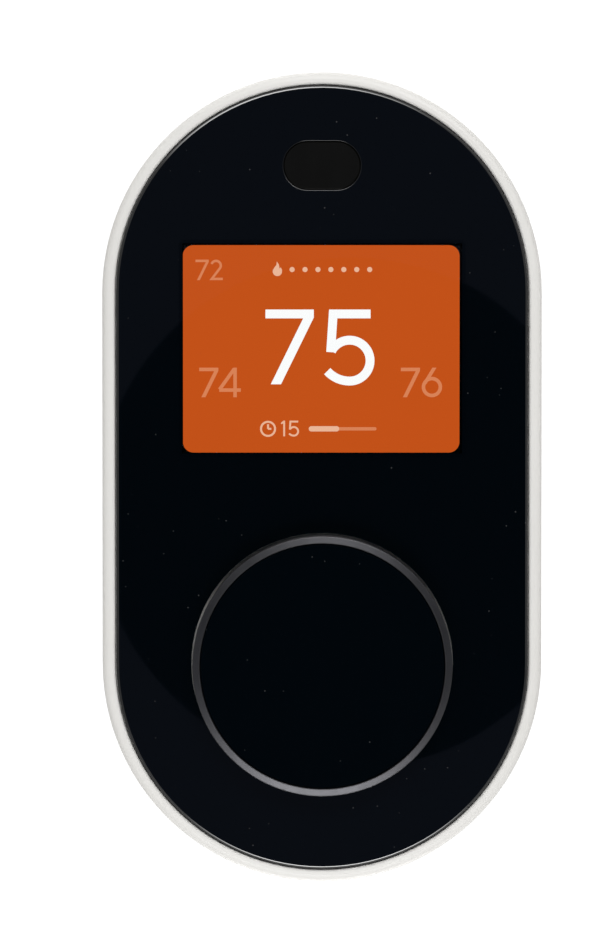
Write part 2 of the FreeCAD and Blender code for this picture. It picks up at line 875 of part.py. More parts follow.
# ---- head: screws ----
def screw(x, y, seat, head_height):
    """Pan-head screw driven from behind into the housing, its head's bearing face at seat."""
    back = seat - head_height
    head = disc(screw_head_radius, (back, seat), x, y)
    head = head.makeFillet(screw_head_round, edges_at(head, back))
    shank = disc(screw_radius, (back, board_front + screw_bite), x, y)
    length, width, depth = recess_cross
    cross_z = (back - past, back + depth)
    cross = [box(span(length, x), span(width, y), cross_z), box(span(width, x), span(length, y), cross_z)]
    return without(joined([head, shank]), cross)


def case_screws():
    return Part.makeCompound([screw(x, y, case_screw_seat, screw_head_height) for x, y in boss_places])


def board_screws():
    return Part.makeCompound([screw(x, y, board_back, screw_head_low) for x, y in post_places])


# ---- encoder ----
def encoder_case():
    case = block_at((encoder_size, encoder_size, encoder_height), 0, knob_y, board_front)
    pocket = disc(pocket_radius, (board_front + pocket_floor, case_top + past), 0, knob_y)
    seat = disc(rotor_radius + skin, (board_front + rotor_ledge, case_top + past), 0, knob_y)
    return without(case, [pocket, seat])


def encoder_cover():
    plate = block_at((encoder_size, encoder_size, encoder_cover_thick), 0, knob_y, case_top)
    bushing = disc(bushing_radius, (case_top, bushing_top), 0, knob_y)
    bore = disc(shaft_radius + skin, through((case_top, bushing_top)), 0, knob_y)
    return joined([plate, bushing]).cut(bore)


def d_bar(grow, z):
    """The D section of the shaft, this much larger all round, on the knob's axis."""
    radius = shaft_radius + grow
    flat_y = knob_y + shaft_radius - shaft_flat + grow
    off = box(span(4 * radius), (flat_y, flat_y + 2 * radius), through(z))
    return disc(radius, z, 0, knob_y).cut(off)


def encoder_rotor():
    """Ring that the shaft turns, with a radial groove for each detent."""
    z = (rotor_back, rotor_front)
    ring = disc(rotor_radius, z, 0, knob_y).cut(d_bar(skin, through(z)))
    groove_x = (rotor_radius - detent_length, rotor_radius + past)
    groove = box(groove_x, span(detent_width), (rotor_front - detent_depth, rotor_front + past))
    return without(ring, round_knob_axis(groove, detent_count))


def detent_spring():
    """Flat ring under the cover, with two fingers that reach down to the rotor."""
    z = (case_top - detent_spring_thick, case_top)
    outer = rotor_radius - detent_finger / 2
    inner = outer - 3 * detent_finger
    leaf = disc(outer, z, 0, knob_y).cut(disc(inner, through(z), 0, knob_y))
    finger_x = span(detent_finger, outer - detent_finger)
    finger = box(finger_x, span(detent_finger), (rotor_front + skin, case_top))
    return joined([leaf] + round_knob_axis(finger, 2))


def switch_dome():
    """Snap dome under the shaft."""
    floor = board_front + pocket_floor
    ball = (dome_radius**2 + dome_height**2) / (2 * dome_height)
    centre = Vector(0, knob_y, floor + dome_height - ball)
    shell = Part.makeSphere(ball, centre).cut(Part.makeSphere(ball - dome_thick, centre))
    return shell.common(disc(ball, (floor, floor + ball), 0, knob_y))


def encoder_shaft():
    """Shaft with a D section in the rotor and in the knob, and round where it runs in the bushing."""
    round_low = case_top - detent_spring_thick
    round_high = bushing_top + skin
    shapes = [
        d_bar(0, (shaft_back, round_low)),
        disc(shaft_radius, (round_low, round_high), 0, knob_y),
        d_bar(0, (round_high, shaft_front)),
    ]
    return joined(shapes)


# ---- knob ----
def knob_ring():
    """Metal ring: straight grip wall, rounded front edge, and a front face that falls slightly outwards."""
    steps = 6
    profile = [
        (knob_inner, knob_back),
        (knob_radius - ring_foot_break, knob_back),
        (knob_radius, knob_back + ring_foot_break),
    ]
    for i in range(steps + 1):
        angle = math.radians(90 * i / steps)
        r = knob_radius - ring_round + ring_round * math.cos(angle)
        profile.append((r, knob_top - ring_slope - ring_round + ring_round * math.sin(angle)))
    profile += [(knob_inner + ring_break, knob_top), (knob_inner, knob_top - ring_break)]
    return turned(profile)


def knob_cap():
    """Glossy disc, dished a little towards a small flat in the middle."""
    steps = 12
    profile = [(0, cap_back), (cap_radius, cap_back), (cap_radius, cap_front - cap_break)]
    for i in range(steps):
        share = 1 - i / steps
        profile.append(((cap_radius - cap_break) * share, cap_front - cap_dish * (1 - share * share)))
    profile.append((0, profile[-1][1]))
    return turned(profile)


def knob_carrier():
    """Inner part of the knob: disc, skirt and ribs, with a D-shaped socket for the shaft in its hub."""
    outer = knob_inner - snug
    skirt_inner = outer - skirt_thick
    skirt = disc(outer, (knob_back, cap_back), 0, knob_y)
    rib = box((0, outer), span(rib_thick), (disc_back - rib_height, cap_back))
    shapes = [
        skirt.cut(disc(skirt_inner, through((knob_back, cap_back)), 0, knob_y)),
        disc(outer, (disc_back, cap_back), 0, knob_y),
        disc(hub_radius, (hub_back, cap_back), 0, knob_y),
    ]
    for copy in round_knob_axis(rib, rib_count):
        shapes.append(copy.common(skirt))
    socket = d_bar(snug, (hub_back - past, shaft_front + snug))
    return joined(shapes).cut(socket)


# ---- output ----
def stand_up(shape):
    """From lying on its back to hanging on the wall."""
    shape = shape.copy()
    shape.rotate(ORIGIN, X, 90)
    return shape


def all_nodes():
    """Every node's name and its shape, lying on its back."""
    nodes = {
        "wall_plate": wall_plate(),
        "level_vial": level_vial(),
        "level_plugs": level_plugs(),
        "level_fluid": level_fluid(),
        "front_housing": front_housing(),
        "front_panel": front_panel(),
        "display_window": display_window(),
        "sensor_window": sensor_window(),
        "panel_adhesive": panel_adhesive(),
        "display_gasket": display_gasket(),
        "lcd_panel": lcd_panel(),
        "backlight_unit": backlight_unit(),
        "display_carrier": display_carrier(),
        "lcd_flex": lcd_flex(),
        "lcd_connector": lcd_connector(),
        "main_board": main_board(),
        "pir_sensor": pir_sensor(),
        "pir_spacer": pir_spacer(),
        "radio_module": radio_module(),
        "board_chips": board_chips(),
        "humidity_sensor": humidity_sensor(),
        "relays": relays(),
        "capacitors": capacitors(),
        "buzzer": buzzer(),
        "pin_headers": pin_headers(),
        "contact_pins": contact_pins(),
        "rear_cover": rear_cover(),
        "case_screws": case_screws(),
        "board_screws": board_screws(),
        "encoder_case": encoder_case(),
        "encoder_cover": encoder_cover(),
        "detent_spring": detent_spring(),
        "switch_dome": switch_dome(),
        "encoder_rotor": encoder_rotor(),
        "encoder_shaft": encoder_shaft(),
        "knob_ring": knob_ring(),
        "knob_cap": knob_cap(),
        "knob_carrier": knob_carrier(),
    }
    block = terminal_block()
    strips = Part.makeCompound([contact_strip(y) for y in way_places])
    springs = Part.makeCompound([clamp_spring(y) for y in way_places])
    for side, place in (("right", lambda shape: shape), ("left", mirrored)):
        nodes["terminal_block_" + side] = place(block)
        nodes["contact_strips_" + side] = place(strips)
        nodes["clamp_springs_" + side] = place(springs)
        for number, y in enumerate(reversed(way_places), 1):
            nodes["terminal_tab_" + side + "_" + str(number)] = place(terminal_tab(y))
    return nodes


os.makedirs("parts", exist_ok=True)
for name, shape in all_nodes().items():
    stand_up(shape).exportStep("parts/" + name + ".step")
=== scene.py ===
"""Looks of the wall thermostat: materials, the lit picture, small fittings, studio light and camera.

Everything is in metres, in the shared frame: +Z up the wall, the face looks along -Y, the wall is at y = 0.
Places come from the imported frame. Looks that the frame can't give are named values.
"""

import math

import bpy
import bmesh
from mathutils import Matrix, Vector


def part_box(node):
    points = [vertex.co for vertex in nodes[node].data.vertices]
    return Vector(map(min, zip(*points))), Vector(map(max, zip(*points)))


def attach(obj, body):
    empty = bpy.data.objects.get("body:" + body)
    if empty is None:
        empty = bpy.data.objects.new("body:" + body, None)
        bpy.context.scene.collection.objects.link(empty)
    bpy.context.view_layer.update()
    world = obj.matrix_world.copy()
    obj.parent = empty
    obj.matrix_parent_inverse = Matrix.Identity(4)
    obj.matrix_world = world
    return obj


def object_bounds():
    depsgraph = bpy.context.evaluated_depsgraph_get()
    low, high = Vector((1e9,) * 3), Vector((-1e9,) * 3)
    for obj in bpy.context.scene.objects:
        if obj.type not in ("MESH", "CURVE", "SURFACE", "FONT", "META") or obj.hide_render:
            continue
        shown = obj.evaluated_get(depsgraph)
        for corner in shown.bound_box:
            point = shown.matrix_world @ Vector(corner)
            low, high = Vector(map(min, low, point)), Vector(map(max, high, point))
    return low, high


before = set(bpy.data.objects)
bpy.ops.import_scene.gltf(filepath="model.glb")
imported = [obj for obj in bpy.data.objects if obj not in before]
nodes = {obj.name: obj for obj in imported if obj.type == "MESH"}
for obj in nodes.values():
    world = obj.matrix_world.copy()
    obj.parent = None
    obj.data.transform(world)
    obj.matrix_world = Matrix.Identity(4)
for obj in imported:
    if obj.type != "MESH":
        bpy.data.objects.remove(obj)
cad_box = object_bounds()
mm = 0.001

# ---- picture on the display ----
picture_margin = 0.6 * mm  # inside the display window
picture_left = 0.13 * mm  # off the window's middle
picture_corner_share = 0.052  # of the picture's height
picture_thick = 0.06 * mm
mark_thick = 0.04 * mm
mark_lift = 0.01 * mm
done_thick = 0.6 * mark_thick  # the done part of the bar, on top of the bar
side_number_height = 0.1425  # of the picture's height
side_number_base = 0.7330  # from the picture's top
pen = 0.118  # stroke width of the numerals, of their height

# ---- printed border of the display window ----
window_border = 0.48 * mm
ink_soft = 0.02 * mm  # half the width over which the border sets in
coated_ior = 1.25  # stands for an anti-glare coat

# ---- colours that show from the front, linear ----
screen_orange = (0.554, 0.0844, 0.0095)
mark_white = (0.98, 1.0, 1.0)
mark_pale = (0.84, 0.48, 0.32)
mark_dim = (0.705, 0.230, 0.098)
housing_white = (0.803, 0.793, 0.769)
panel_black = (0.0005, 0.0013, 0.0026)
cap_black = (0.0003, 0.0012, 0.0025)
sensor_black = (0.0024, 0.0022, 0.0012)
ring_grey = (0.092, 0.092, 0.099)

# ---- colours of the wall plate and of what lies inside ----
plate_white = (0.80, 0.80, 0.78)
cover_white = (0.74, 0.74, 0.72)
inner_white = (0.78, 0.78, 0.76)
part_black = (0.016, 0.016, 0.018)
chip_black = (0.014, 0.014, 0.016)
adhesive_black = (0.01, 0.01, 0.01)
gasket_black = (0.006, 0.006, 0.006)
glass_dark = (0.0012, 0.0028, 0.0044)
film_amber = (0.42, 0.16, 0.03)
connector_cream = (0.70, 0.65, 0.53)
mask_green = (0.010, 0.075, 0.030)
mask_green_light = (0.012, 0.085, 0.034)
trace_green = (0.030, 0.160, 0.060)
plated_steel = (0.60, 0.59, 0.56)
spring_steel = (0.63, 0.62, 0.59)
zinc = (0.58, 0.58, 0.60)
tinned_brass = (0.74, 0.60, 0.36)
gold = (0.83, 0.62, 0.28)
can_aluminium = (0.74, 0.74, 0.75)
can_steel = (0.70, 0.66, 0.56)
shaft_aluminium = (0.72, 0.72, 0.73)
vial_clear = (0.98, 1.0, 0.97)
fluid_green = (0.62, 0.86, 0.12)
level_ink = (0.01, 0.01, 0.012)
number_paint = (0.10, 0.10, 0.105)
terminal_grey = (0.50, 0.51, 0.52)
tab_dark = (0.085, 0.09, 0.10)

# ---- camera ----
camera_distance = 252 * mm  # to the housing's rim
camera_pitch_deg = 0.6
picture_frame_height = 146.93 * mm  # seen at the rim, top to bottom of the frame
aim_left = 3.96 * mm  # the view's middle, off the part's
aim_up = 0.62 * mm
sensor_size = 36.0  # in the same unit as the lens

# ---- studio ----
sky_colour = (1.0, 0.99, 0.97)
sky_strength = 0.465
floor_paint = (0.82, 0.82, 0.82)
backdrop_strength = 1.15
dark_card_colour = (0.064, 0.070, 0.092)  # what the gloss mirrors
dark_disc_colour = (0.008, 0.016, 0.016)


# ---- small helpers ----
def box_of(name):
    """A CAD node's lowest corner, highest corner and middle."""
    low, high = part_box(name)
    return low, high, (low + high) / 2


def assign(name, material):
    """Gives a CAD node its material."""
    mesh = nodes[name].data
    mesh.materials.clear()
    mesh.materials.append(material)


def new_piece(name, mesh, material, body):
    """Links a mesh as a piece that rides on a CAD body, with this material."""
    obj = bpy.data.objects.new(name, mesh)
    bpy.context.scene.collection.objects.link(obj)
    mesh.materials.append(material)
    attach(obj, body)


# ---- materials ----
class Nodes:
    """A material's node tree, with short calls for the nodes that repeat."""

    def __init__(self, name):
        self.material = bpy.data.materials.new(name)
        self.material.use_nodes = True
        self.tree = self.material.node_tree
        self.shader = self.tree.nodes["Principled BSDF"]
        self.coords = self.add("ShaderNodeTexCoord").outputs["Object"]

    def add(self, kind, **settings):
        node = self.tree.nodes.new(kind)
        for key, value in settings.items():
            setattr(node, key, value)
        return node

    def link(self, output, target):
        self.tree.links.new(output, target)

    def set(self, **values):
        """Sets sockets of the shader by name, with _ for a space."""
        for key, value in values.items():
            self.shader.inputs[key.replace("_", " ")].default_value = value

    def moved(self, offset=(0, 0, 0), stretch=(1, 1, 1)):
        """Object coordinates, shifted and then stretched."""
        shift = self.add("ShaderNodeVectorMath", operation="SUBTRACT")
        self.link(self.coords, shift.inputs[0])
        shift.inputs[1].default_value = offset
        scale = self.add("ShaderNodeVectorMath", operation="MULTIPLY")
        self.link(shift.outputs[0], scale.inputs[0])
        scale.inputs[1].default_value = stretch
        return scale.outputs[0]

    def noise(self, size, detail=2.0, rough=0.5, source=None):
        """Noise whose lumps are about this size, in metres."""
        node = self.add("ShaderNodeTexNoise")
        node.inputs["Scale"].default_value = 1.0 / size
        node.inputs["Detail"].default_value = detail
        node.inputs["Roughness"].default_value = rough
        self.link(source if source is not None else self.coords, node.inputs["Vector"])
        return node.outputs["Fac"]

    def ranged(self, source, low, high, from_low=0.0, from_high=1.0):
        """Maps the source from one range to another, and stays inside it."""
        node = self.add("ShaderNodeMapRange")
        node.inputs["From Min"].default_value = from_low
        node.inputs["From Max"].default_value = from_high
        node.inputs["To Min"].default_value = low
        node.inputs["To Max"].default_value = high
        self.link(source, node.inputs["Value"])
        return node.outputs["Result"]

    def blend(self, colour_a, colour_b, factor):
        """Mixes two colours by a factor."""
        node = self.add("ShaderNodeMix", data_type="RGBA")
        node.inputs["A"].default_value = (*colour_a, 1)
        node.inputs["B"].default_value = (*colour_b, 1)
        self.link(factor, node.inputs["Factor"])
        return node.outputs["Result"]

    def toned(self, colour, source, spread, tint=(1, 1, 1)):
        """The colour, varied by this share either way, with the dark end tinted."""
        dark = [c * (1 - spread) * t for c, t in zip(colour, tint)]
        light = [min(1.0, c * (1 + spread)) for c in colour]
        self.link(self.blend(dark, light, source), self.shader.inputs["Base Color"])

    def speckle(self, tone, spacing, radius):
        """Sparse grey specks over the colour that is already there, each fading out towards its radius."""
        cells = self.add("ShaderNodeTexVoronoi")
        cells.inputs["Scale"].default_value = 1 / spacing
        self.link(self.coords, cells.inputs["Vector"])
        edge = radius / spacing
        speck = self.ranged(cells.outputs["Distance"], 1.0, 0.0, 0.3 * edge, edge)
        mix = self.add("ShaderNodeMix", data_type="RGBA")
        self.link(speck, mix.inputs["Factor"])
        self.link(self.shader.inputs["Base Color"].links[0].from_socket, mix.inputs["A"])
        mix.inputs["B"].default_value = (tone, tone, tone, 1)
        self.link(mix.outputs["Result"], self.shader.inputs["Base Color"])

    def rough(self, source, low, high):
        """Roughness between two values, from noise, which seldom leaves 0.3 to 0.7."""
        self.link(self.ranged(source, low, high, 0.3, 0.7), self.shader.inputs["Roughness"])

    def bump(self, source, height, below=None):
        """Relief of this height from the source, on top of the relief below it."""
        node = self.add("ShaderNodeBump")
        node.inputs["Distance"].default_value = height
        self.link(source, node.inputs["Height"])
        if below is not None:
            self.link(below, node.inputs["Normal"])
        self.link(node.outputs["Normal"], self.shader.inputs["Normal"])
        return node.outputs["Normal"]


def moulded_plastic(name, colour, rough, grain=0.16 * mm, depth=0.0005 * mm, spread=0.015):
    """Satin moulded plastic: fine spark-eroded grain, slow changes of tone, and slightly uneven gloss."""
    n = Nodes(name)
    n.toned(colour, n.noise(14 * mm, detail=3.0, rough=0.6), spread, tint=(1, 0.995, 0.98))
    n.rough(n.noise(6 * mm), rough - 0.03, rough + 0.03)
    waves = n.bump(n.noise(14 * mm, detail=1.0), 0.004 * mm)
    n.bump(n.noise(grain, detail=2.0, rough=0.7), depth, waves)
    n.set(IOR=1.49)
    return n.material


def gloss_plastic(name, colour, rough, haze, spread=0.06, dust=0.0):
    """Polished plastic with faint wipe marks in its gloss and, if asked, a few specks of dust this bright."""
    n = Nodes(name)
    n.toned(colour, n.noise(20 * mm), spread)
    if dust:
        n.speckle(dust, spacing=2.6 * mm, radius=0.13 * mm)
    wiped = n.noise(6 * mm, detail=5.0, rough=0.7, source=n.moved(stretch=(1.0, 1.0, 0.25)))
    n.rough(wiped, rough, rough + haze)
    n.bump(n.noise(16 * mm, detail=1.0), 0.006 * mm)
    n.set(IOR=1.50)
    return n.material


def metal(name, colour, rough, grain=(1, 1, 1)):
    """Rolled or plated metal: grain stretched along the rolling direction, and cloudy gloss."""
    n = Nodes(name)
    n.set(Metallic=1.0)
    n.toned(colour, n.noise(5 * mm, detail=4.0, rough=0.7), 0.07, tint=(1, 0.98, 0.95))
    brushed = n.noise(0.25 * mm, detail=3.0, rough=0.6, source=n.moved(stretch=grain))
    n.rough(brushed, rough - 0.07, rough + 0.09)
    n.bump(brushed, 0.002 * mm)
    return n.material


def turned_metal(name, colour, centre, rough):
    """Lathe-turned metal round an axis along Y: fine rings, and highlights that spread across them."""
    ring_pitch = 0.07 * mm
    arc_share = 0.35  # of uneven patches, against the rings
    n = Nodes(name)
    n.set(Metallic=1.0, Anisotropic=0.65, Anisotropic_Rotation=0.25)
    flat = n.moved(offset=centre, stretch=(1, 0, 1))
    radius = n.add("ShaderNodeVectorMath", operation="LENGTH")
    n.link(flat, radius.inputs[0])
    rings = n.add("ShaderNodeTexNoise", noise_dimensions="1D")
    rings.inputs["Scale"].default_value = 1 / ring_pitch
    rings.inputs["Detail"].default_value = 3.0
    n.link(radius.outputs["Value"], rings.inputs["W"])
    arcs = n.noise(1.6 * mm)
    n.toned(colour, n.noise(4 * mm, detail=3.0, rough=0.6), 0.05)
    mixed = n.add("ShaderNodeMath", operation="MULTIPLY_ADD")
    n.link(arcs, mixed.inputs[0])
    mixed.inputs[1].default_value = arc_share
    n.link(rings.outputs["Fac"], mixed.inputs[2])
    gloss = n.ranged(mixed.outputs[0], rough - 0.06, rough + 0.08, 0.4, 0.95)
    n.link(gloss, n.shader.inputs["Roughness"])
    n.bump(rings.outputs["Fac"], 0.0016 * mm)
    tangent = n.add("ShaderNodeTangent", direction_type="RADIAL", axis="Y")
    n.link(tangent.outputs["Tangent"], n.shader.inputs["Tangent"])
    return n.material


def clear_plastic(name, colour, ior):
    """Clear plastic or fluid, polished, with the faintest haze."""
    n = Nodes(name)
    n.toned(colour, n.noise(10 * mm), 0.004)
    n.rough(n.noise(8 * mm, detail=4.0, rough=0.7), 0.0, 0.012)
    n.set(Transmission_Weight=1.0, IOR=ior)
    return n.material


def printed_window(name, low, high, border, ink):
    """Clear window with a black printed border round its edge. The ink starts a little before the clearness
    ends, and the border shines more than the coated middle."""
    n = Nodes(name)
    middle = (low + high) / 2
    inner = (high - low) / 2 - Vector((border, 0, border))
    size = n.add("ShaderNodeVectorMath", operation="ABSOLUTE")
    n.link(n.moved(offset=middle), size.inputs[0])
    past = n.add("ShaderNodeVectorMath", operation="SUBTRACT")
    n.link(size.outputs[0], past.inputs[0])
    past.inputs[1].default_value = inner
    split = n.add("ShaderNodeSeparateXYZ")
    n.link(past.outputs[0], split.inputs[0])
    into_border = n.add("ShaderNodeMath", operation="MAXIMUM")
    n.link(split.outputs["X"], into_border.inputs[0])
    n.link(split.outputs["Z"], into_border.inputs[1])
    depth = into_border.outputs[0]
    inked = n.ranged(depth, 0.0, 1.0, -3 * ink_soft, -ink_soft)
    n.link(n.blend((1, 1, 1), ink, inked), n.shader.inputs["Base Color"])
    n.link(n.ranged(depth, 1.0, 0.0, -ink_soft, ink_soft), n.shader.inputs["Transmission Weight"])
    n.link(n.ranged(depth, 0.5, 1.0, -ink_soft, ink_soft), n.shader.inputs["Specular IOR Level"])
    n.rough(n.noise(8 * mm, detail=4.0, rough=0.7), 0.0, 0.012)
    n.set(IOR=coated_ior)
    return n.material


def glowing(name, colour, spread=0.0):
    """A lit patch of the picture, with a faint unevenness of its backlight."""
    n = Nodes(name)
    dark = [c * (1 - spread) for c in colour]
    light = [c * (1 + spread) for c in colour]
    n.link(n.blend(dark, light, n.noise(12 * mm, detail=1.0)), n.shader.inputs["Emission Color"])
    n.set(Base_Color=(0.0, 0.0, 0.0, 1), Emission_Strength=1.0, Roughness=0.5, Specular_IOR_Level=0.0)
    return n.material


def foam(name, colour):
    """Open foam: coarse, uneven and matt."""
    n = Nodes(name)
    n.toned(colour, n.noise(0.5 * mm, detail=4.0, rough=0.8), 0.35)
    n.bump(n.noise(0.35 * mm, detail=3.0, rough=0.8), 0.06 * mm)
    n.set(Roughness=0.9)
    return n.material


def circuit_board(name):
    """Green solder mask over copper: traces on a staggered grid, lighter where copper lies under the mask."""
    grid_size = 5.2 * mm
    n = Nodes(name)
    grid = n.add("ShaderNodeTexBrick")
    grid.inputs["Scale"].default_value = 1 / grid_size
    grid.inputs["Mortar Size"].default_value = 0.035
    grid.inputs["Brick Width"].default_value = 1.7
    grid.inputs["Row Height"].default_value = 0.22
    grid.inputs["Color1"].default_value = (*mask_green, 1)
    grid.inputs["Color2"].default_value = (*mask_green_light, 1)
    grid.inputs["Mortar"].default_value = (*trace_green, 1)
    # the grid is laid out in X and Y, and the board lies in X and Z
    turned = n.add("ShaderNodeMapping")
    turned.inputs["Rotation"].default_value = (math.radians(90), 0, 0)
    n.link(n.coords, turned.inputs["Vector"])
    n.link(turned.outputs["Vector"], grid.inputs["Vector"])
    n.link(grid.outputs["Color"], n.shader.inputs["Base Color"])
    n.bump(grid.outputs["Fac"], 0.02 * mm)
    n.rough(n.noise(2 * mm, detail=3.0), 0.22, 0.34)
    return n.material


# ---- outlines, and meshes made from them ----
def plate_from_outlines(name, outlines, y_back, y_front):
    """A mesh with one flat plate facing -Y for each closed (x, z) outline."""
    mesh = bpy.data.meshes.new(name)
    bm = bmesh.new()
    for outline in outlines:
        area = sum(a[0] * b[1] - b[0] * a[1] for a, b in zip(outline, outline[1:] + outline[:1]))
        ring = outline if area > 0 else outline[::-1]
        front = [bm.verts.new((x, y_front, z)) for x, z in ring]
        back = [bm.verts.new((x, y_back, z)) for x, z in ring]
        bm.faces.new(front)
        bm.faces.new(back[::-1])
        for i in range(len(ring)):
            j = (i + 1) % len(ring)
            bm.faces.new((front[i], back[i], back[j], front[j]))
    bmesh.ops.recalc_face_normals(bm, faces=bm.faces)
    bmesh.ops.triangulate(bm, faces=bm.faces)
    bm.to_mesh(mesh)
    bm.free()
    return mesh


def arc(cx, cz, radius, start_deg, end_deg, steps):
    """Points of an arc, from one angle to the other."""
    points = []
    for i in range(steps + 1):
        angle = math.radians(start_deg + (end_deg - start_deg) * i / steps)
        points.append((cx + radius * math.cos(angle), cz + radius * math.sin(angle)))
    return points


def stroke(points, width, level_start=False):
    """Outline of a pen stroke with mitred bends. Its ends are square, or its start is cut level if asked."""
    sharpest = 0.3  # a bend's mitre grows to 1 / 0.3 of the half width at most
    left = []
    right = []
    last = len(points) - 1
    for i, (x, z) in enumerate(points):
        before = Vector(points[i]) - Vector(points[i - 1]) if i > 0 else None
        after = Vector(points[i + 1]) - Vector(points[i]) if i < last else None
        ahead = (before or after).normalized()
        onward = (after or before).normalized()
        normal = Vector((-ahead.y - onward.y, ahead.x + onward.x))
        normal.normalize()
        spread = width / 2 / max(sharpest, normal.dot(Vector((-ahead.y, ahead.x))))
        if i == 0 and level_start:
            spread = width / 2 / abs(ahead.y)
            normal = Vector((-math.copysign(1, ahead.y), 0))
        left.append((x + normal.x * spread, z + normal.y * spread))
        right.append((x - normal.x * spread, z - normal.y * spread))
    return left + right[::-1]


def ring_strokes(cx, cz, radius, width, steps, start_deg=0):
    """A pen stroke round a full circle, as two halves."""
    circle = arc(cx, cz, radius, start_deg, start_deg + 360, steps)
    half = steps // 2
    return [stroke(circle[:half + 1], width), stroke(circle[half:], width)]


def rounded_box(cx, cz, width, height, corner, steps):
    """Outline of a box with round corners, each in this many steps."""
    dx = width / 2 - corner
    dz = height / 2 - corner
    points = []
    for i, (sx, sz) in enumerate(((1, 1), (-1, 1), (-1, -1), (1, -1))):
        points += arc(cx + sx * dx, cz + sz * dz, corner, 90 * i, 90 * i + 90, steps)
    return points


def round_bar(left, right, z, thick):
    """Outline of a level bar with round ends."""
    straight = 0.001 * mm  # left of each end's side, so that no two points meet
    return rounded_box((left + right) / 2, z, right - left, thick, thick / 2 - straight, 6)


# ---- numerals of a plain round sans, one unit high ----
def numeral(character):
    """The numeral's width and its outlines."""
    w = pen
    if character == "1":
        flag = stroke([(0.02, 0.80), (0.20 - w / 2, 0.93)], w * 0.9)
        return 0.30, [flag, stroke([(0.20, 0.0), (0.20, 1.0)], w)]
    if character == "2":
        bowl = arc(0.31, 0.71, 0.29 - w / 2, 160, -28, 18)
        return 0.65, [stroke(bowl + [(0.10, w / 2), (0.64, w / 2)], w)]
    if character == "3":
        upper = arc(0.29, 0.74, 0.26 - w / 2, 150, -80, 16)
        lower = arc(0.30, 0.31, 0.31 - w / 2, 80, -150, 18)
        return 0.62, [stroke(upper, w), stroke(lower, w)]
    if character == "4":
        stem = stroke([(0.586, 0), (0.586, 1)], w)
        bar = stroke([(0.05, 0.242), (0.78, 0.242)], w)
        return 0.78, [stem, bar, stroke([(0.56, 0.96), (0.06, 0.26)], w)]
    if character == "5":
        top = stroke([(0.639, 1 - w / 2), (0.139, 1 - w / 2), (0.105, 0.430)], w)
        bowl = arc(0.359, 0.3165, 0.274, 152, -90, 30)
        tail = arc(0.359, 0.4455, 0.403, -90, -138, 8)
        return 0.692, [top, stroke(bowl + tail[1:], w)]
    if character == "6":
        bowl = ring_strokes(0.345, 0.345, 0.345 - w / 2, w, 40, start_deg=150)
        return 0.69, bowl + [stroke([(0.43, 1.0), (0.105, 0.47)], w, level_start=True)]
    if character == "7":
        outline = [(0, 1), (0.647, 1), (0.647, 0.893), (0.208, 0), (0.071, 0), (0.505, 1 - w), (0, 1 - w)]
        return 0.647, [outline]
    if character == "8":
        upper = ring_strokes(0.32, 0.75, 0.25 - w / 2, w, 32)
        return 0.62, upper + ring_strokes(0.32, 0.29, 0.29 - w / 2, w, 36)
    if character == "9":
        width, outlines = numeral("6")
        return width, [[(width - x, 1 - z) for x, z in outline] for outline in outlines]
    left = arc(0.34, 0.66, 0.34 - w / 2, 0, 180, 18)
    right = arc(0.34, 0.34, 0.34 - w / 2, 180, 360, 18)
    return 0.68, [stroke(left + right + left[:1], w)]


def number(text, x, z, height, gap=0.0):
    """Outlines of a row of numerals whose lower left corner is at x, z. The gap is a share of the height."""
    outlines = []
    for character in text:
        width, shapes = numeral(character)
        for shape in shapes:
            outlines.append([(x + px * height, z + pz * height) for px, pz in shape])
        x += (width + gap) * height
    return outlines


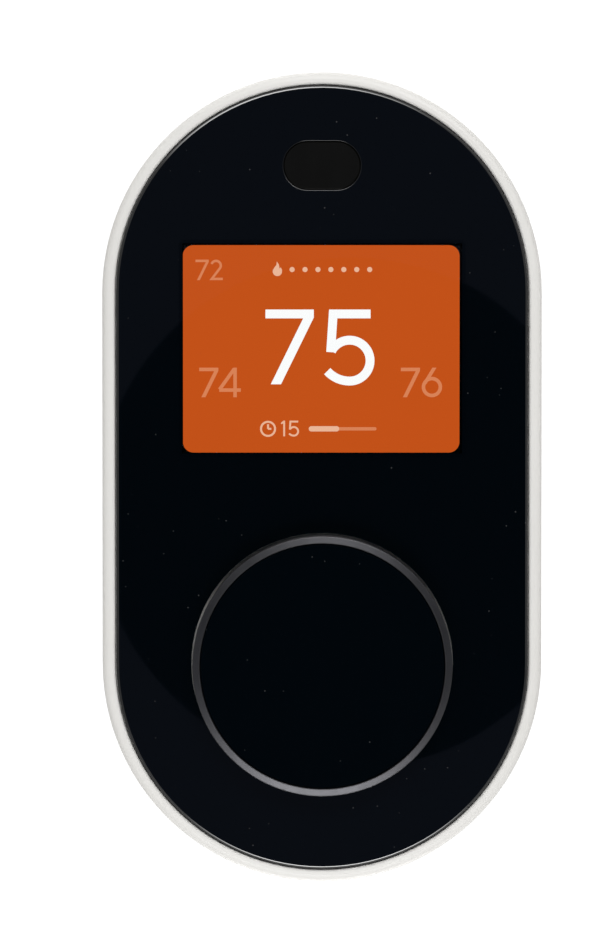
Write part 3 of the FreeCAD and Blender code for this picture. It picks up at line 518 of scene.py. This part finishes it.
# ---- the picture on the display ----
def display_picture():
    """Orange field with the set number large, its neighbours dim, the room's number in the corner,
    a flame with a row of dots above and a clock with its minutes and a bar below. No words."""
    back = box_of("lcd_panel")[0].y
    window_low, window_high, middle = box_of("display_window")
    middle.x -= picture_left
    width = window_high.x - window_low.x - 2 * picture_margin
    height = window_high.z - window_low.z - 2 * picture_margin
    front = back - picture_thick
    mark_back = front - mark_lift
    mark_front = mark_back - mark_thick

    field = rounded_box(middle.x, middle.z, width, height, height * picture_corner_share, 12)
    mesh = plate_from_outlines("picture_field", [field], back, front)
    new_piece("picture_field", mesh, glowing("lit orange", screen_orange, 0.012), "head")

    def at(share_x, share_z):
        """A point of the picture, as shares from its left and from its top."""
        return middle.x + (share_x - 0.5) * width, middle.z + (0.5 - share_z) * height

    def put(name, outlines, material):
        plate = plate_from_outlines(name, outlines, mark_back, mark_front)
        new_piece(name, plate, material, "head")

    def put_number(name, text, left, base, tall, gap, material):
        """A row of numerals. Its left and base are shares of the picture, and so is its height."""
        x, z = at(left, base)
        put(name, number(text, x, z, tall * height, gap), material)

    white = glowing("lit white", mark_white)
    pale = glowing("lit pale", mark_pale)
    dim = glowing("lit dim", mark_dim)

    put_number("picture_set_number", "75", 0.2988, 0.6705, 0.3603, 0.121, white)
    put_number("picture_number_below", "74", 0.0595, side_number_base, side_number_height, -0.02, dim)
    put_number("picture_number_above", "76", 0.7880, side_number_base, side_number_height, 0.06, dim)
    put_number("picture_room_number", "72", 0.0462, 0.1685, 0.0985, 0.05, dim)

    # the flame's outline is one unit high and goes round from its left side
    flame = [(0.0, 0.42)]
    flame += arc(0.30, 0.36, 0.30, 190, 350, 14)
    flame += [(0.60, 0.45), (0.52, 0.62), (0.44, 0.54), (0.40, 0.80), (0.26, 1.0), (0.24, 0.78), (0.10, 0.60)]
    flame_height = 0.075 * height
    x, z = at(0.3250, 0.1535)
    put("picture_flame", [[(x + px * flame_height, z + pz * flame_height) for px, pz in flame]], pale)

    line_above = 0.1175
    first_dot = 0.395
    dot_pitch = 0.0467
    dot_radius = 0.0125 * height
    dots = []
    for i in range(7):
        cx, cz = at(first_dot + dot_pitch * i, line_above)
        dots.append(arc(cx, cz, dot_radius, 0, 360, 20)[:-1])
    put("picture_dots", dots, pale)

    line_below = 0.8855
    clock_radius = 0.034 * height
    clock_pen = 0.0095 * height
    x, z = at(0.3080, line_below)
    long_hand = stroke([(x, z), (x, z + 0.022 * height)], clock_pen)
    short_hand = stroke([(x, z), (x + 0.016 * height, z)], clock_pen)
    put("picture_clock", ring_strokes(x, z, clock_radius, clock_pen, 32) + [long_hand, short_hand], pale)
    put_number("picture_minutes", "15", 0.3550, 0.9215, 0.0755, 0.16, pale)

    bar_thick = 0.016 * height
    done_share = 0.45
    left, z = at(0.455, line_below)
    right = at(0.700, line_below)[0]
    put("picture_bar", [round_bar(left, right, z, bar_thick)], dim)
    done = round_bar(left, left + done_share * (right - left), z, 1.6 * bar_thick)
    mesh = plate_from_outlines("picture_bar_done", [done], mark_front, mark_front - done_thick)
    new_piece("picture_bar_done", mesh, pale, "head")


# ---- small fittings ----
def level_marks():
    """Two black rings round the level vial, one at each end of the bubble."""
    low, high, middle = box_of("level_vial")
    radius = (high.z - low.z) / 2
    off_middle = 3.6 * mm
    wide = 0.45 * mm
    proud = 0.04 * mm
    steps = 48
    ink = moulded_plastic("level ink", level_ink, 0.5)
    section = ((-wide / 2, 0.0), (-wide / 2, proud), (wide / 2, proud), (wide / 2, 0.0))
    for name, side in (("level_mark_left", -1), ("level_mark_right", 1)):
        mesh = bpy.data.meshes.new("level_mark")
        bm = bmesh.new()
        loops = []
        for along, grow in section:
            loop = []
            for i in range(steps):
                angle = 2 * math.pi * i / steps
                y = middle.y + (radius + grow) * math.cos(angle)
                z = middle.z + (radius + grow) * math.sin(angle)
                loop.append(bm.verts.new((middle.x + side * off_middle + along, y, z)))
            loops.append(loop)
        for a, b in zip(loops, loops[1:] + loops[:1]):
            for i in range(steps):
                j = (i + 1) % steps
                bm.faces.new((a[i], a[j], b[j], b[i]))
        bmesh.ops.recalc_face_normals(bm, faces=bm.faces)
        bm.to_mesh(mesh)
        bm.free()
        new_piece(name, mesh, ink, "wall_mount")


def terminal_numbers():
    """Plain numbers moulded on the plate beside the terminals: 1 to 5 left, 6 to 9 and 0 right."""
    floor_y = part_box("contact_strips_left")[1].y
    paint = moulded_plastic("number paint", number_paint, 0.5)
    size = 2.6 * mm
    proud = 0.12 * mm
    clear_of_block = 1.6 * mm
    for side, digits in (("left", "12345"), ("right", "67890")):
        block_low, block_high, _ = box_of("terminal_block_" + side)
        outlines = []
        for i, digit in enumerate(digits):
            middle = box_of("terminal_tab_%s_%d" % (side, i + 1))[2]
            if side == "left":
                x = block_low.x - clear_of_block - numeral(digit)[0] * size
            else:
                x = block_high.x + clear_of_block
            outlines += number(digit, x, middle.z - size / 2, size)
        mesh = plate_from_outlines("terminal_numbers_" + side, outlines, floor_y, floor_y - proud)
        new_piece("terminal_numbers_" + side, mesh, paint, "wall_mount")


# ---- materials for the CAD nodes ----
def dress_frame():
    """Gives every CAD node its material."""
    knob_middle = box_of("knob_ring")[2]
    window_low, window_high, _ = box_of("display_window")
    coarse = {"grain": 0.22 * mm, "depth": 0.002 * mm}
    housing = moulded_plastic("housing plastic", housing_white, 0.42)
    plate = moulded_plastic("plate plastic", plate_white, 0.50, **coarse)
    cover = moulded_plastic("cover plastic", cover_white, 0.50, **coarse)
    inner = moulded_plastic("inner plastic", inner_white, 0.5)
    black = moulded_plastic("black plastic", part_black, 0.45, spread=0.12)
    chip = moulded_plastic("chip resin", chip_black, 0.38, grain=0.08 * mm, spread=0.15)
    plated = metal("plated steel", plated_steel, 0.28, (1, 1, 6))
    spring = metal("spring steel", spring_steel, 0.22, (8, 1, 1))
    screw = metal("zinc plate", zinc, 0.34)
    brass = metal("tinned brass", tinned_brass, 0.25, (1, 6, 1))
    pins = metal("gold plate", gold, 0.2, (1, 8, 1))
    can = metal("can aluminium", can_aluminium, 0.32, (1, 0.2, 1))
    looks = {
        "front_housing": housing,
        "wall_plate": plate,
        "rear_cover": cover,
        "front_panel": gloss_plastic("panel gloss", panel_black, 0.02, 0.015, dust=0.07),
        "display_window": printed_window("window clear", window_low, window_high, window_border, panel_black),
        "sensor_window": gloss_plastic("sensor gloss", sensor_black, 0.10, 0.04, spread=0.15),
        "panel_adhesive": foam("adhesive", adhesive_black),
        "display_gasket": foam("gasket foam", gasket_black),
        "lcd_panel": gloss_plastic("display glass", glass_dark, 0.08, 0.03),
        "backlight_unit": inner,
        "display_carrier": inner,
        "lcd_flex": gloss_plastic("film", film_amber, 0.16, 0.05),
        "lcd_connector": moulded_plastic("connector", connector_cream, 0.45),
        "main_board": circuit_board("circuit board"),
        "pir_sensor": metal("sensor can", can_steel, 0.24, (1, 0.2, 1)),
        "pir_spacer": inner,
        "radio_module": plated,
        "board_chips": chip,
        "humidity_sensor": chip,
        "relays": black,
        "capacitors": can,
        "buzzer": black,
        "pin_headers": black,
        "contact_pins": pins,
        "case_screws": screw,
        "board_screws": screw,
        "encoder_case": black,
        "encoder_cover": plated,
        "detent_spring": spring,
        "switch_dome": spring,
        "encoder_rotor": inner,
        "encoder_shaft": metal("shaft aluminium", shaft_aluminium, 0.3, (1, 6, 1)),
        "knob_ring": turned_metal("ring metal", ring_grey, knob_middle, 0.38),
        "knob_cap": gloss_plastic("cap gloss", cap_black, 0.06, 0.03, dust=0.06),
        "knob_carrier": black,
        "level_vial": clear_plastic("vial clear", vial_clear, 1.49),
        "level_plugs": inner,
        "level_fluid": clear_plastic("fluid green", fluid_green, 1.36),
    }
    terminal_grain = {"grain": 0.14 * mm, "depth": 0.003 * mm}
    block = moulded_plastic("terminal plastic", terminal_grey, 0.42, **terminal_grain)
    tab = moulded_plastic("tab plastic", tab_dark, 0.36, spread=0.06, **terminal_grain)
    for side in ("left", "right"):
        looks["terminal_block_" + side] = block
        looks["contact_strips_" + side] = brass
        looks["clamp_springs_" + side] = spring
        for i in range(1, 6):
            looks["terminal_tab_%s_%d" % (side, i)] = tab
    for name, material in looks.items():
        assign(name, material)


# ---- studio ----
def emitter(name, colour, strength=1.0):
    """A surface that only shines."""
    material = bpy.data.materials.new(name)
    material.use_nodes = True
    shader = material.node_tree.nodes["Principled BSDF"]
    shader.inputs["Base Color"].default_value = (0, 0, 0, 1)
    shader.inputs["Specular IOR Level"].default_value = 0.0
    shader.inputs["Emission Color"].default_value = (*colour, 1)
    shader.inputs["Emission Strength"].default_value = strength
    return material


def staged(name, points, place, material, seen=True):
    """One flat face with these corners, at this place."""
    mesh = bpy.data.meshes.new(name)
    mesh.from_pydata(points, [], [tuple(range(len(points)))])
    mesh.materials.append(material)
    obj = bpy.data.objects.new(name, mesh)
    bpy.context.scene.collection.objects.link(obj)
    obj.location = place
    obj.visible_camera = seen


def card(name, width, height, place, material, seen=True):
    """An upright studio card across the view."""
    w = width / 2
    h = height / 2
    staged(name, [(-w, 0, -h), (w, 0, -h), (w, 0, h), (-w, 0, h)], place, material, seen)


def disc(name, radius, place, material):
    """An upright round card, out of the camera's sight."""
    rim = [(x, 0, z) for x, z in arc(0, 0, radius, 0, 360, 96)[:-1]]
    staged(name, rim, place, material, seen=False)


def floor(radius, z):
    """A pale round floor."""
    n = Nodes("floor paint")
    n.toned(floor_paint, n.noise(0.3, detail=3.0), 0.02)
    n.set(Roughness=0.8)
    rim = [(x, y, 0) for x, y in arc(0, 0, radius, 0, 360, 64)[:-1]]
    staged("floor", rim, (0, 0, z), n.material)


def area_light(name, place, tilt, size, power, fade):
    """A softbox out of the camera's sight. It shines down, turned about X by the tilt in degrees, and fades
    out towards both ends over this share of its width."""
    light = bpy.data.lights.new(name, "AREA")
    light.shape = "RECTANGLE"
    light.size, light.size_y = size
    light.energy = power
    light.use_nodes = True
    tree = light.node_tree
    lamp = tree.nodes["Emission"]
    across = tree.nodes.new("ShaderNodeSeparateXYZ")
    tree.links.new(tree.nodes.new("ShaderNodeNewGeometry").outputs["Parametric"], across.inputs[0])
    ends = []
    for low, high in ((0.0, fade), (1.0, 1.0 - fade)):
        ramp = tree.nodes.new("ShaderNodeMapRange")
        ramp.interpolation_type = "SMOOTHSTEP"
        ramp.inputs["From Min"].default_value = low
        ramp.inputs["From Max"].default_value = high
        tree.links.new(across.outputs["X"], ramp.inputs["Value"])
        ends.append(ramp.outputs["Result"])
    both = tree.nodes.new("ShaderNodeMath")
    both.operation = "MULTIPLY"
    tree.links.new(ends[0], both.inputs[0])
    tree.links.new(ends[1], both.inputs[1])
    tree.links.new(both.outputs[0], lamp.inputs["Strength"])
    obj = bpy.data.objects.new(name, light)
    bpy.context.scene.collection.objects.link(obj)
    obj.location = place
    obj.rotation_euler = (math.radians(tilt), 0, 0)
    obj.visible_camera = False


def studio():
    """Pale floor and backdrop, a dark card and disc for the gloss to mirror, and four softboxes."""
    scene = bpy.context.scene
    scene.view_settings.view_transform = "Standard"
    world = bpy.data.worlds.new("studio")
    scene.world = world
    world.use_nodes = True
    sky = world.node_tree.nodes["Background"]
    sky.inputs["Color"].default_value = (*sky_colour, 1)
    sky.inputs["Strength"].default_value = sky_strength
    floor(radius=2.6, z=-0.46)
    card("backdrop", 1.6, 1.44, (0, 0.62, 0.26), emitter("backdrop light", (1, 1, 1), backdrop_strength))
    card("dark_card", 0.60, 0.275, (0, -0.292, 0.0), emitter("dark card", dark_card_colour), seen=False)
    disc("dark_disc", 0.081, (0.0132, -0.2915, -0.0145), emitter("dark disc", dark_disc_colour))
    area_light("strip_above", (-0.08, 0.050, 0.42), tilt=-8, size=(0.70, 0.044), power=0.76, fade=0.45)
    area_light("strip_below", (0.02, 0.031, -0.285), tilt=186, size=(0.46, 0.036), power=0.50, fade=0.45)
    area_light("softbox_above", (0.06, -0.42, 0.32), tilt=53, size=(0.44, 0.22), power=1.95, fade=0.3)
    area_light("softbox_below", (-0.01, -0.40, -0.25), tilt=122, size=(0.36, 0.18), power=1.38, fade=0.3)


def camera():
    """The photo's view: straight from the front and a touch from above."""
    data = bpy.data.cameras.new("camera")
    data.sensor_width = sensor_size
    data.lens = sensor_size * camera_distance / picture_frame_height
    data.clip_start = 0.01
    data.clip_end = 20
    obj = bpy.data.objects.new("camera", data)
    bpy.context.scene.collection.objects.link(obj)
    rim_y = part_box("front_housing")[0].y
    pitch = math.radians(camera_pitch_deg)
    away = Vector((0, -math.cos(pitch), math.sin(pitch)))
    middle = (cad_box[0] + cad_box[1]) / 2
    aim = Vector((middle.x - aim_left, rim_y, middle.z + aim_up))
    obj.location = aim + away * camera_distance
    obj.rotation_euler = (math.radians(90) - pitch, 0, 0)
    bpy.context.scene.camera = obj


dress_frame()
display_picture()
level_marks()
terminal_numbers()
studio()
camera()
